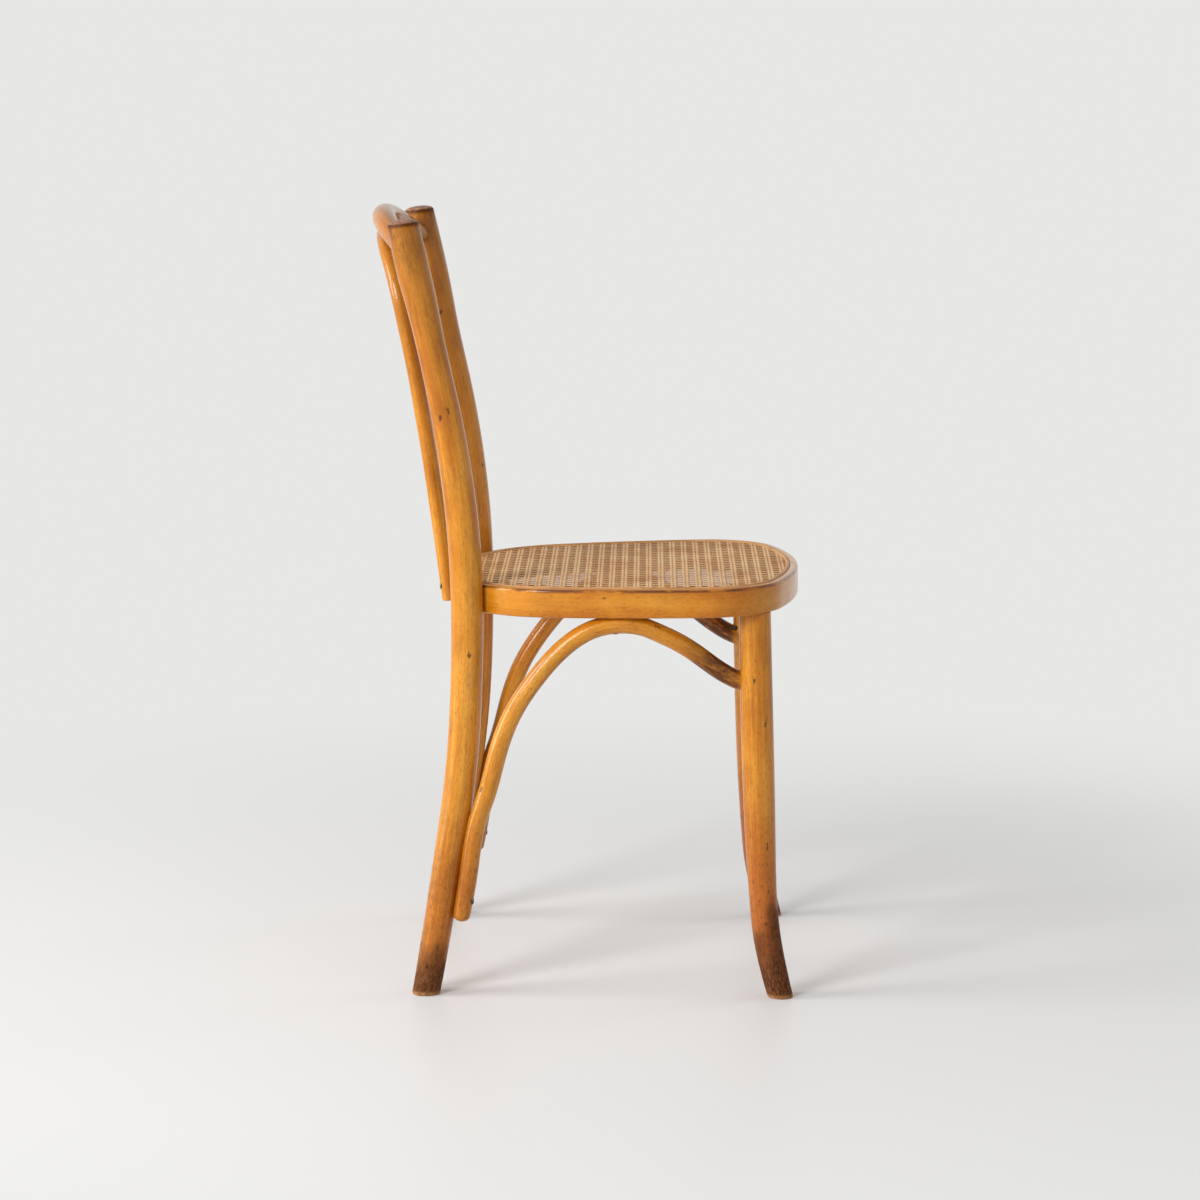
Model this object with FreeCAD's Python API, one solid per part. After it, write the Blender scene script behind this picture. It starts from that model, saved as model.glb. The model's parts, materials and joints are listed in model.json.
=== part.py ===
import FreeCAD
import Part
import math
import os

# Bentwood side chair with a woven cane seat, in millimetres.
# The chair stands on z = 0, faces -Y, and x = 0 is its plane of symmetry.

# Sizes of the seat ring
seat_width = 405.0
seat_depth = 404.5
seat_front = 246.5
seat_height = 468.0
seat_tilt = 1.05
ring_height = 33.0
ring_wall = 38.0
ring_round = 3.5
ring_inner_round = 2.0
round_steps = 3
rear_corner_radius = 140.0
front_corner_radius = 92.0
rear_turn = 19.0
side_turn_start = 79.0
side_turn_end = 88.5
front_turn = 161.0

# Sizes of the cane panel and the spline that holds it
cane_thickness = 1.6
groove_inset = 9.0
groove_width = 5.6
groove_depth = 6.5
cane_lip = 1.1
cane_lip_depth = 4.4
spline_crown = 1.2
net_pitch = 28.0
net_bar = 12.5
net_margin = 1.0
spline_clearance = 0.1

# Sizes of the rear posts
post_top = 875.0
post_end_slope = 6.5
post_turn = 37.0
post_notch = 1.6
post_seat_radius = 18.5

# Rows from the floor up to the seat joint: share of the height, outward, backward, radius
post_leg_rows = [
    (0.00, 45.0, 47.0, 15.7),
    (0.13, 38.4, 36.6, 16.4),
    (0.36, 26.6, 20.0, 17.3),
    (0.50, 19.4, 10.6, 17.8),
    (0.64, 12.4, 4.2, 18.1),
    (0.82, 4.8, 0.4, 18.3),
]

# Rows from the seat joint up to the end: share of the height, outward, backward, radius
post_back_rows = [
    (0.00, 0.0, 0.0, 18.5),
    (0.14, -1.0, 2.6, 18.6),
    (0.27, -0.6, 7.8, 18.3),
    (0.50, 2.4, 22.8, 17.2),
    (0.70, 5.4, 40.6, 16.6),
    (0.79, 6.6, 48.8, 17.8),
    (0.88, 7.6, 58.0, 18.8),
    (1.00, 8.6, 68.6, 17.4),
]

# Sizes of the crest rail
crest_drop = 35.5
crest_rise = 35.4
crest_bow = 37.4
crest_radius = 13.6
crest_end_radius = 11.4
crest_tenon_radius = 8.0

# Sizes of the inner bow
bow_radius = 9.0
bow_foot_turn = 13.3
bow_foot_lift = 5.5
bow_spread = 88.0
bow_arch_height = 86.0
bow_crest_seat = 1.4
bow_ring_seat = 1.6

# Rows up the bow from its foot to its apex: share of the height, share of the setback
bow_rows = [
    (0.00, 0.000),
    (0.11, 0.071),
    (0.22, 0.150),
    (0.34, 0.231),
    (0.45, 0.321),
    (0.56, 0.418),
    (0.67, 0.522),
    (0.78, 0.646),
    (0.89, 0.783),
    (1.00, 1.000),
]

# Sizes of the front legs
leg_turn = 139.8
leg_tenon_radius = 11.0
leg_tenon_length = 24.0

# Rows from the floor up to the ring: share of the height, outward, forward, radius
leg_rows = [
    (0.00, 38.0, 31.0, 14.0),
    (0.05, 35.9, 25.2, 14.7),
    (0.17, 31.0, 14.4, 15.6),
    (0.26, 27.4, 10.6, 15.9),
    (0.38, 22.6, 7.9, 17.1),
    (0.54, 16.4, 5.4, 18.2),
    (0.88, 4.1, 1.2, 18.4),
    (1.00, 0.0, 0.0, 18.2),
]

# Sizes of the side braces
brace_radius = 10.6
brace_end_radius = 9.8
brace_ring_flat = 1.6
brace_post_flat = 1.0
brace_post_gap = 0.3
brace_post_angle = 17.0
brace_foot_height = 83.5
brace_leave_height = 196.0
brace_leg_height = 354.5
brace_leg_angle = 32.0
brace_leg_reach = 9.0
brace_apex_turn = 83.5

# Rows from the rear post up to the apex: share of the run, share of the rise
brace_rear_rows = [
    (0.065, 0.139),
    (0.135, 0.330),
    (0.232, 0.530),
    (0.400, 0.726),
    (0.585, 0.878),
    (0.800, 0.978),
]

# Rows from the apex down to the front leg: share of the run, share of the drop
brace_front_rows = [
    (0.144, 0.047),
    (0.250, 0.134),
    (0.404, 0.282),
    (0.564, 0.482),
    (0.730, 0.727),
    (0.860, 0.885),
]

# Sizes of the screws and of their fit
screw_head_radius = 4.4
screw_head_height = 2.4
screw_shank_radius = 2.1
screw_length = 33.0
brace_screw_height = 108.0
brace_screw_setback = 12.0
brace_leg_screw_turn = 30.0
bow_screw_height = 17.0
coach_head_radius = 7.5
coach_head_height = 4.5
coach_shank_radius = 3.5
coach_grip_in_post = 22.0
washer_radius = 9.5
washer_thickness = 1.5
washer_sink = 1.2
hole_clearance = 0.1
joint_clearance = 0.1
bore_room = 1.0


def vec(x, y, z):
    return FreeCAD.Vector(x, y, z)


def mirrored(shape):
    return shape.mirror(vec(0, 0, 0), vec(1, 0, 0))


def moved(vector):
    return vec(-vector.x, vector.y, vector.z)


# Seat outline: a chain of five arcs a side, each tangent to the next.
# A turn is the angle of the outward normal, counted from +Y towards +X.
turns = [0.0, rear_turn, side_turn_start, side_turn_end, front_turn, 180.0]
sines = [math.sin(math.radians(turn)) for turn in turns]
cosines = [math.cos(math.radians(turn)) for turn in turns]
front_radius = (seat_width / 2 - front_corner_radius * (1 - sines[4])) / sines[4]
width_left = (seat_width / 2 - rear_corner_radius * (sines[2] - sines[1])
              - front_corner_radius * (1 - sines[3]))
depth_left = (seat_depth - rear_corner_radius * (cosines[1] - cosines[2])
              - front_corner_radius * (cosines[3] - cosines[4])
              - front_radius * (1 + cosines[4]))
side_x = sines[3] - sines[2]
side_y = cosines[2] - cosines[3]
rear_y = 1 - cosines[1]
side_radius = ((depth_left * sines[1] - width_left * rear_y)
               / (side_y * sines[1] - side_x * rear_y))
rear_radius = (width_left - side_radius * side_x) / sines[1]
outline_radii = [rear_radius, rear_corner_radius, side_radius, front_corner_radius, front_radius]
seat_rear = seat_depth - seat_front
seat_middle = seat_rear - seat_depth / 2


def normal_at(turn):
    return vec(math.sin(math.radians(turn)), math.cos(math.radians(turn)), 0)


def arc_centres():
    centre = vec(0, seat_rear - rear_radius, 0)
    centres = [centre]
    for index in range(1, 5):
        step = outline_radii[index - 1] - outline_radii[index]
        centre = centre + normal_at(turns[index]) * step
        centres.append(centre)
    return centres


centres = arc_centres()


def outline_point(turn, inset):
    index = 0
    while index < 4 and turn > turns[index + 1]:
        index = index + 1
    return centres[index] + normal_at(turn) * (outline_radii[index] - inset)


def outline_face(inset):
    edges = []
    for side in (1, -1):
        for index in range(5):
            ends = []
            for turn in (turns[index], (turns[index] + turns[index + 1]) / 2, turns[index + 1]):
                point = centres[index] + normal_at(turn) * (outline_radii[index] - inset)
                ends.append(vec(side * point.x, point.y, 0))
            edges.append(Part.Arc(ends[0], ends[1], ends[2]).toShape())
    return Part.Face(Part.Wire(Part.__sortEdges__(edges)))


def slab(inset, bottom, top):
    face = outline_face(inset)
    face.translate(vec(0, 0, bottom))
    return face.extrude(vec(0, 0, top - bottom))


def rounding(inset, height, size, rise):
    # Levels of a quarter round whose edge stands at the inset, going up or, with a rise of -1, down
    levels = []
    for step in range(round_steps + 1):
        angle = math.radians(90 * step / round_steps)
        levels.append((inset + size * (1 - math.sin(angle)), height + rise * abs(size) * (1 - math.cos(angle))))
    return levels


def stacked(levels):
    wires = []
    for inset, height in levels:
        wire = outline_face(inset).OuterWire
        wire.translate(vec(0, 0, height))
        wires.append(wire)
    return Part.makeLoft(wires, True, True)


# The seat is built level with its top on z = 0, then tilted and lifted to its place.
seat_place = FreeCAD.Placement(
    vec(0, 0, seat_height),
    FreeCAD.Rotation(vec(1, 0, 0), -seat_tilt),
    vec(0, seat_middle, 0),
)


def seated(point):
    return seat_place.multVec(point)


def in_seat(shape):
    placed = shape.copy()
    placed.Placement = seat_place.multiply(placed.Placement)
    return placed


def section(centre, tangent, radius, steady):
    ring = Part.Wire(Part.makeCircle(radius))
    turned = FreeCAD.Rotation(steady, vec(0, 0, 0), tangent, "ZXY")
    ring.Placement = FreeCAD.Placement(centre, turned)
    return ring


def spline_path(points):
    curve = Part.BSplineCurve()
    curve.interpolate(points)
    return curve


def bent_rod(curve, points, radii, steady, first=None, last=None):
    # A section faces along the curve, apart from the first and last where a direction is given
    directions = [curve.tangent(curve.parameter(point))[0] for point in points]
    directions[0] = first or directions[0]
    directions[-1] = last or directions[-1]
    sections = []
    for point, direction, radius in zip(points, directions, radii):
        sections.append(section(point, direction, radius, steady))
    return Part.makeLoft(sections, True, True)


def at_height(curve, height):
    low = curve.FirstParameter
    high = curve.LastParameter
    for _ in range(50):
        middle = (low + high) / 2
        if curve.value(middle).z < height:
            low = middle
        else:
            high = middle
    return curve.value((low + high) / 2)


def peg(start, direction, radius, length):
    return Part.makeCylinder(radius, length, start, direction)


def radius_between(rows, share):
    for low, high in zip(rows, rows[1:]):
        if low[0] <= share <= high[0]:
            part = (share - low[0]) / (high[0] - low[0])
            return low[3] + part * (high[3] - low[3])
    return rows[-1][3]


def half_space(point, direction, size):
    # A block whose one face passes through the point and which lies behind that face
    block = Part.makeBox(size, size, size, vec(-size / 2, -size / 2, 0))
    turn = FreeCAD.Rotation(vec(0, 0, 1), direction)
    block.Placement = FreeCAD.Placement(point, turn)
    return block


# Rear posts: one bent piece each, from the floor to the end above the crest rail
post_normal = normal_at(post_turn)
post_flat = outline_point(post_turn, post_notch)
post_seat = seated(post_flat + vec(0, 0, -ring_height / 2)) + post_normal * (post_seat_radius - post_notch)
post_axis_top = post_top - post_back_rows[-1][3] * math.tan(math.radians(post_end_slope))
post_points = []
post_radii = []
for share, outward, backward, radius in post_leg_rows:
    post_points.append(vec(post_seat.x + outward, post_seat.y + backward, share * post_seat.z))
    post_radii.append(radius)
for share, outward, backward, radius in post_back_rows:
    height = post_seat.z + share * (post_axis_top - post_seat.z)
    post_points.append(vec(post_seat.x + outward, post_seat.y + backward, height))
    post_radii.append(radius)
post_curve = spline_path(post_points)
end_normal = vec(0, math.sin(math.radians(post_end_slope)), math.cos(math.radians(post_end_slope)))
post_rod = bent_rod(post_curve, post_points, post_radii, vec(1, 0, 0), vec(0, 0, 1), end_normal)

# Crest rail: a round rod that rises and bows back between the posts
crest_end = at_height(post_curve, post_top - crest_drop)
crest_shares = [-1.0, -0.8, -0.55, -0.3, 0.0, 0.3, 0.55, 0.8, 1.0]
crest_points = []
crest_radii = []
for share in crest_shares:
    fall = 1 - share * share
    crest_points.append(
        vec(share * crest_end.x, crest_end.y + crest_bow * fall, crest_end.z + crest_rise * fall))
    crest_radii.append(crest_end_radius + (crest_radius - crest_end_radius) * fall)
crest_curve = spline_path(crest_points)
crest_rod = bent_rod(crest_curve, crest_points, crest_radii, vec(0, 0, 1))
tenon_run = crest_curve.tangent(crest_curve.LastParameter)[0]
tenon_back = 12.0
tenon_start = crest_points[-1] - tenon_run * (post_seat_radius + tenon_back)
tenon_size = post_seat_radius + tenon_back
crest_tenon = peg(tenon_start, tenon_run, crest_tenon_radius, tenon_size)
crest_bore = peg(tenon_start, tenon_run, crest_tenon_radius + joint_clearance, tenon_size + bore_room)
crest_rail = crest_rod.cut(post_rod).cut(mirrored(post_rod))
crest_rail = crest_rail.fuse(crest_tenon).fuse(mirrored(crest_tenon))

# Seat ring: rounded rail, groove for the spline and a ledge for the cane
ring_outer = stacked(rounding(0, -ring_height, ring_round, 1)
                     + list(reversed(rounding(0, 0, ring_round, -1))))
ring_hollow = stacked(rounding(ring_wall, -ring_height, -ring_inner_round, 1) + [(ring_wall, ring_round)])
ring = ring_outer.cut(ring_hollow)
groove_end = groove_inset + groove_width
groove = slab(groove_inset, -groove_depth, ring_round).cut(slab(groove_end, -groove_depth, ring_round))
ring = ring.cut(groove)
ring = ring.cut(slab(groove_end - ring_round / 10, -cane_thickness, ring_round))
seat_ring = in_seat(ring)

# Cane panel: a flat woven sheet with its edge turned down into the groove
lip_inset = groove_end - cane_lip
cane_sheet = slab(lip_inset, -cane_thickness, 0)
cane_edge = slab(lip_inset, -cane_lip_depth, -cane_thickness)
cane_edge = cane_edge.cut(slab(groove_end, -cane_lip_depth, -cane_thickness))

# The weave is a plain net here: square openings inside the ring, in rows about its middle
net_room = outline_face(ring_wall + net_margin)
net_reach = int(seat_width / 2 / net_pitch) + 1
net_side = net_pitch - net_bar
net_holes = []
for row in range(-net_reach, net_reach + 1):
    for column in range(-net_reach, net_reach + 1):
        left = column * net_pitch - net_side / 2
        rear = seat_middle + row * net_pitch - net_side / 2
        corners = [vec(left + i * net_side, rear + j * net_side, 0) for i in (0, 1) for j in (0, 1)]
        if all(net_room.isInside(corner, 0.01, True) for corner in corners):
            net_holes.append(Part.makeBox(net_side, net_side, 4 * cane_thickness, vec(left, rear, -2 * cane_thickness)))
cane_sheet = cane_sheet.cut(Part.makeCompound(net_holes))
cane_panel = in_seat(cane_sheet.fuse(cane_edge).removeSplitter())

# Cane spline: a reed with a round top, pressed into the groove
spline_outer = groove_inset + spline_clearance
spline_inner = lip_inset - spline_clearance
spline_round = 0.45 * (spline_inner - spline_outer)
spline_ring = stacked([(spline_outer, -groove_depth)]
                      + list(reversed(rounding(spline_outer, spline_crown, spline_round, -1))))
spline_hollow = stacked([(spline_inner, -groove_depth)]
                        + list(reversed(rounding(spline_inner, spline_crown, -spline_round, -1))))
cane_spline = in_seat(spline_ring.cut(spline_hollow))

# Front legs: round, tapered, swept forward at the foot, with a tenon in the ring
leg_mid = outline_point(leg_turn, ring_wall / 2)
leg_top = seated(leg_mid + vec(0, 0, -ring_height))
leg_points = []
leg_radii = []
for share, outward, forward, radius in leg_rows:
    leg_points.append(vec(leg_top.x + outward, leg_top.y - forward, share * leg_top.z))
    leg_radii.append(radius)
seat_up = seat_place.Rotation.multVec(vec(0, 0, 1))
leg_curve = spline_path(leg_points)
leg_rod = bent_rod(leg_curve, leg_points, leg_radii, vec(1, 0, 0), vec(0, 0, 1), seat_up)
leg_tenon = peg(leg_top - seat_up * leg_tenon_length, seat_up, leg_tenon_radius, 2 * leg_tenon_length)
leg_mortise = peg(
    leg_top - seat_up * bore_room, seat_up,
    leg_tenon_radius + joint_clearance, leg_tenon_length + 2 * bore_room)

# Side braces: an arch from the rear post, under the ring, to the front leg
post_direction = vec(math.sin(math.radians(brace_post_angle)), -math.cos(math.radians(brace_post_angle)), 0)
leg_direction = vec(-math.sin(math.radians(brace_leg_angle)), math.cos(math.radians(brace_leg_angle)), 0)


def beside_post(height):
    radius = radius_between(post_leg_rows, height / post_seat.z)
    return at_height(post_curve, height) + post_direction * (radius + brace_radius - brace_post_flat)


def share_point(start, end, run, rise):
    flat = start + (end - start) * run
    return vec(flat.x, flat.y, start.z + (end.z - start.z) * rise)


brace_apex = seated(outline_point(brace_apex_turn, ring_wall / 2) + vec(0, 0, -ring_height))
brace_apex = brace_apex - vec(0, 0, brace_radius - brace_ring_flat)
brace_leave = beside_post(brace_leave_height)
brace_foot = beside_post(brace_foot_height)
brace_end = at_height(leg_curve, brace_leg_height) + leg_direction * brace_leg_reach
brace_points = []
for step in range(3):
    brace_points.append(beside_post(brace_foot_height + (brace_leave_height - brace_foot_height) * step / 2))
for run, rise in brace_rear_rows:
    brace_points.append(share_point(brace_leave, brace_apex, run, rise))
brace_points.append(brace_apex)
for run, drop in brace_front_rows:
    brace_points.append(share_point(brace_apex, brace_end, run, drop))
brace_points.append(brace_end)
brace_radii = [brace_radius] * len(brace_points)
brace_radii[0] = brace_end_radius
brace_curve = spline_path(brace_points)
brace_rod = bent_rod(brace_curve, brace_points, brace_radii, vec(1, 0, 0))
foot_run = brace_curve.tangent(brace_curve.FirstParameter)[0]
brace_rod = brace_rod.fuse(Part.makeSphere(brace_end_radius, brace_foot, foot_run * -1, 0, 90, 360))
brace = brace_rod.cut(in_seat(slab(0, -ring_height, 0)))
brace = brace.cut(leg_rod)

# The brace's foot is planed flat where it lies along the rear post
flat_foot = beside_post(brace_foot_height) - post_direction * (brace_radius - brace_post_flat - brace_post_gap)
flat_head = brace_leave - post_direction * (brace_radius - brace_post_flat - brace_post_gap)
flat_normal = (flat_head - flat_foot).cross(vec(0, 0, 1).cross(post_direction)).normalize()
if flat_normal * post_direction > 0:
    flat_normal = flat_normal * -1
brace = brace.cut(half_space(flat_foot, flat_normal, 3 * (brace_leave_height - brace_foot_height)))

# Inner bow: an arch below the crest rail whose feet stand against the ring
bow_normal = normal_at(bow_foot_turn)
bow_base = seated(outline_point(bow_foot_turn, 0) + vec(0, 0, bow_foot_lift - ring_height))
bow_base = bow_base + bow_normal * (bow_radius - bow_ring_seat)
crest_middle = crest_points[len(crest_points) // 2]
bow_apex = crest_middle - vec(0, 0, crest_radius + bow_radius - bow_crest_seat)
bow_height = bow_apex.z - bow_base.z
bow_setback = bow_apex.y - bow_base.y


def bow_back(share):
    for low, high in zip(bow_rows, bow_rows[1:]):
        if low[0] <= share <= high[0]:
            part = (share - low[0]) / (high[0] - low[0])
            return bow_base.y + bow_setback * (low[1] + part * (high[1] - low[1]))
    return bow_apex.y


arch_share = 1 - bow_arch_height / bow_height
bow_side = []
for step in range(6):
    share = arch_share * step / 6
    swell = math.sin(math.radians(90 * step / 6))
    across = bow_base.x + (bow_spread - bow_base.x) * swell
    bow_side.append(vec(across, bow_back(share), bow_base.z + share * bow_height))
for step in range(5):
    angle = math.radians(90 * step / 5)
    height = bow_apex.z - bow_arch_height * (1 - math.sin(angle))
    back = bow_back((height - bow_base.z) / bow_height)
    bow_side.append(vec(bow_spread * math.cos(angle), back, height))
bow_points = bow_side + [bow_apex] + [moved(point) for point in reversed(bow_side)]
bow_curve = spline_path(bow_points)
bow_rod = bent_rod(bow_curve, bow_points, [bow_radius] * len(bow_points), vec(0, 1, 0))
inner_bow = bow_rod.cut(in_seat(slab(0, -ring_height, 0)))
inner_bow = inner_bow.cut(crest_rail)


# Fasteners: each is built along +Z from the underside of its head
def screw(radius, head, head_height, length):
    shank = Part.makeCylinder(radius, length)
    cap = Part.makeCylinder(head, head_height, vec(0, 0, -head_height))
    return cap.fuse(shank).removeSplitter()


def screw_room(radius, head, head_height, length):
    shank = Part.makeCylinder(radius + hole_clearance, length + bore_room)
    mouth = 6 * head_height
    cap = Part.makeCylinder(head + hole_clearance, mouth, vec(0, 0, -mouth))
    return cap.fuse(shank).removeSplitter()


def driven(shape, point, direction):
    placed = shape.copy()
    placed.Placement = FreeCAD.Placement(point, FreeCAD.Rotation(vec(0, 0, 1), direction))
    return placed


def on_curve(curve, point):
    return curve.value(curve.parameter(point))


wood_screw = screw(screw_shank_radius, screw_head_radius, screw_head_height, screw_length)
wood_room = screw_room(screw_shank_radius, screw_head_radius, screw_head_height, screw_length)

# A head lies sunk so that it is level with the far side of the rod
sunk = brace_radius - screw_head_height - hole_clearance
ring_screw_at = on_curve(brace_curve, brace_apex + vec(0, brace_screw_setback, 0)) - seat_up * sunk
post_screw_at = beside_post(brace_screw_height) + post_direction * sunk
leg_screw_mid = on_curve(brace_curve, share_point(brace_apex, brace_end, 0.80, 0.80))
aim = at_height(leg_curve, leg_screw_mid.z) - leg_screw_mid
aim = vec(aim.x, aim.y, 0).normalize()
aim = FreeCAD.Rotation(vec(0, 0, 1), -brace_leg_screw_turn).multVec(aim)
leg_screw_at = leg_screw_mid - aim * sunk
brace_seats = [(ring_screw_at, seat_up), (post_screw_at, post_direction * -1), (leg_screw_at, aim)]
bow_sunk = bow_radius - screw_head_height - hole_clearance
bow_ring_mid = at_height(spline_path(bow_side), bow_base.z + bow_screw_height)
bow_seats = [
    (bow_ring_mid + bow_normal * bow_sunk, bow_normal * -1),
    (moved(bow_ring_mid + bow_normal * bow_sunk), moved(bow_normal * -1)),
    (bow_apex - vec(0, 0, bow_sunk), vec(0, 0, 1)),
]
coach_inner = seated(outline_point(post_turn, ring_wall - washer_sink) + vec(0, 0, -ring_height / 2))
coach_length = ring_wall - washer_sink - post_notch + coach_grip_in_post
coach_washer = driven(Part.makeCylinder(washer_radius, washer_thickness, vec(0, 0, -washer_thickness))
                      .cut(Part.makeCylinder(coach_shank_radius + hole_clearance, 2 * washer_thickness,
                                             vec(0, 0, -washer_thickness))), coach_inner, post_normal)
coach_bolt = driven(screw(coach_shank_radius, coach_head_radius, coach_head_height,
                          coach_length + washer_thickness),
                    coach_inner - post_normal * washer_thickness, post_normal)
coach_room = driven(screw_room(coach_shank_radius, washer_radius, coach_head_height, coach_length),
                    coach_inner, post_normal)

# Holes, bores and flats
rear_post = post_rod.cut(crest_bore).cut(coach_room)
flat_at = seated(post_flat + vec(0, 0, -ring_height / 2))
post_chip = half_space(flat_at, post_normal * -1, ring_height + 6)
ring_chip = half_space(flat_at, post_normal, 3 * ring_height)
rear_post = rear_post.cut(post_chip)
brace_tools = []
for point, direction in brace_seats:
    tool = driven(wood_room, point, direction)
    brace = brace.cut(tool)
    brace_tools.append(tool)
seat_ring = seat_ring.cut(brace_tools[0]).cut(mirrored(brace_tools[0]))
rear_post = rear_post.cut(brace_tools[1])
front_leg = leg_rod.fuse(leg_tenon.cut(leg_rod)).cut(brace_tools[2])
for tool in (leg_mortise, coach_room, post_rod.common(ring_chip)):
    seat_ring = seat_ring.cut(tool).cut(mirrored(tool))
bow_tools = [driven(wood_room, point, direction) for point, direction in bow_seats]
for tool in bow_tools:
    inner_bow = inner_bow.cut(tool)
seat_ring = seat_ring.cut(bow_tools[0]).cut(bow_tools[1])
crest_rail = crest_rail.cut(bow_tools[2])
brace_screw_list = [driven(wood_screw, point, direction) for point, direction in brace_seats]
brace_screw_list = brace_screw_list + [mirrored(item) for item in brace_screw_list]
bow_screw_list = [driven(wood_screw, point, direction) for point, direction in bow_seats]

nodes = {
    "seat_ring": seat_ring,
    "cane_panel": cane_panel,
    "cane_spline": cane_spline,
    "rear_post_right": rear_post,
    "rear_post_left": mirrored(rear_post),
    "crest_rail": crest_rail,
    "inner_bow": inner_bow,
    "front_leg_right": front_leg,
    "front_leg_left": mirrored(front_leg),
    "side_brace_right": brace,
    "side_brace_left": mirrored(brace),
    "brace_screws": Part.makeCompound(brace_screw_list),
    "bow_screws": Part.makeCompound(bow_screw_list),
    "coach_bolts": Part.makeCompound([coach_bolt, mirrored(coach_bolt)]),
    "coach_washers": Part.makeCompound([coach_washer, mirrored(coach_washer)]),
}
os.makedirs("parts", exist_ok=True)
for name, shape in nodes.items():
    shape.exportStep("parts/" + name + ".step")
    box = shape.BoundBox
    print(name, len(shape.Solids), shape.isValid(), round(shape.Volume),
          [round(value, 1) for value in (box.XMin, box.XMax, box.YMin, box.YMax, box.ZMin, box.ZMax)])
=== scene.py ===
import json
import math

import bmesh
import bpy
import numpy
from mathutils import Matrix, Vector, kdtree

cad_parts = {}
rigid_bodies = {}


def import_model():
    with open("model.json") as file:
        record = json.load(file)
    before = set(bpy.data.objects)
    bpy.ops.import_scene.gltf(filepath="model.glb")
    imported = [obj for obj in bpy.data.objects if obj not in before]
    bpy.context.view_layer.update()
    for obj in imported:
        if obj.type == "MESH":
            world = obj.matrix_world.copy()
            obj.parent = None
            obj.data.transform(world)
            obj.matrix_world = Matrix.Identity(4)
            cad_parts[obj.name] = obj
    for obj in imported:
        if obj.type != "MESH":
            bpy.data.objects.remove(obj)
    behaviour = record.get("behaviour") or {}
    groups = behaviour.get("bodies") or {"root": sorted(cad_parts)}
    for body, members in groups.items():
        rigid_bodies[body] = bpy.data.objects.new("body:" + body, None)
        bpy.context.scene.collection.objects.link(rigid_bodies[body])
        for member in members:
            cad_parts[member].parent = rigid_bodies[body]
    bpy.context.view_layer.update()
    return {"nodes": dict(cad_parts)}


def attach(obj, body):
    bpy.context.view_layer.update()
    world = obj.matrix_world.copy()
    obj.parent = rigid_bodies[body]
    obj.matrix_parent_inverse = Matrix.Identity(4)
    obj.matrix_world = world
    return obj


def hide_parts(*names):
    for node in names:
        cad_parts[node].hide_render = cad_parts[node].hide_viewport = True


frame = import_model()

# Bentwood side chair with a woven cane seat, in metres.
# The chair stands on z = 0, faces -Y, and x = 0 is its plane of symmetry.

# Sizes of the seat ring. A turn is an angle round the seat, from its rear at 0 to its front.
seat_width = 0.405
seat_depth = 0.4045
seat_front = 0.2465
seat_height = 0.468
seat_tilt = math.radians(1.05)
ring_height = 0.033
ring_wall = 0.038
ring_round = 0.0035
ring_inner_round = 0.002
groove_inset = 0.009
groove_width = 0.0056
groove_depth = 0.0065
groove_edge = 0.0004
ledge_depth = 0.0016
ledge_edge = 0.0005
rear_corner_radius = 0.140
front_corner_radius = 0.092
turns = [math.radians(turn) for turn in (0.0, 19.0, 79.0, 88.5, 161.0, 180.0)]  # ends of the arcs

# Sizes of the rods
post_top = 0.875
post_end_slope = math.radians(6.5)
post_turn = math.radians(37.0)
post_notch = 0.0016
post_seat_radius = 0.0185
post_dome = 0.0055
foot_round = 0.002
crest_drop = 0.0355
crest_rise = 0.0354
crest_bow = 0.0374
crest_radius = 0.0136
crest_end_radius = 0.0114
bow_radius = 0.009
bow_foot_turn = math.radians(13.3)
bow_foot_lift = 0.0055
bow_spread = 0.088
bow_arch_height = 0.086
bow_crest_seat = 0.0014
bow_ring_seat = 0.0016
bow_end_round = 0.0015
leg_turn = math.radians(139.8)
brace_radius = 0.0106
brace_end_radius = 0.0098
brace_ring_flat = 0.0016
brace_post_flat = 0.001
brace_post_angle = math.radians(17.0)
brace_foot_height = 0.0835
brace_leave_height = 0.196
brace_leg_height = 0.3545
brace_leg_angle = math.radians(32.0)
brace_leg_reach = 0.009
brace_apex_turn = math.radians(83.5)

# Rows from the floor up to the seat joint: share of the height, outward, backward, radius
post_leg_rows = [
    (0.00, 0.0450, 0.0470, 0.0157),
    (0.13, 0.0384, 0.0366, 0.0164),
    (0.36, 0.0266, 0.0200, 0.0173),
    (0.50, 0.0194, 0.0106, 0.0178),
    (0.64, 0.0124, 0.0042, 0.0181),
    (0.82, 0.0048, 0.0004, 0.0183),
]

# Rows from the seat joint up to the end: share of the height, outward, backward, radius
post_back_rows = [
    (0.00, 0.0000, 0.0000, 0.0185),
    (0.14, -0.0010, 0.0026, 0.0186),
    (0.27, -0.0006, 0.0078, 0.0183),
    (0.50, 0.0024, 0.0228, 0.0172),
    (0.70, 0.0054, 0.0406, 0.0166),
    (0.79, 0.0066, 0.0488, 0.0178),
    (0.88, 0.0076, 0.0580, 0.0188),
    (1.00, 0.0086, 0.0686, 0.0174),
]

# Rows up the bow from its foot to its apex: share of the height, share of the setback
bow_rows = [
    (0.00, 0.000), (0.11, 0.071), (0.22, 0.150), (0.34, 0.231), (0.45, 0.321),
    (0.56, 0.418), (0.67, 0.522), (0.78, 0.646), (0.89, 0.783), (1.00, 1.000),
]

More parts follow.
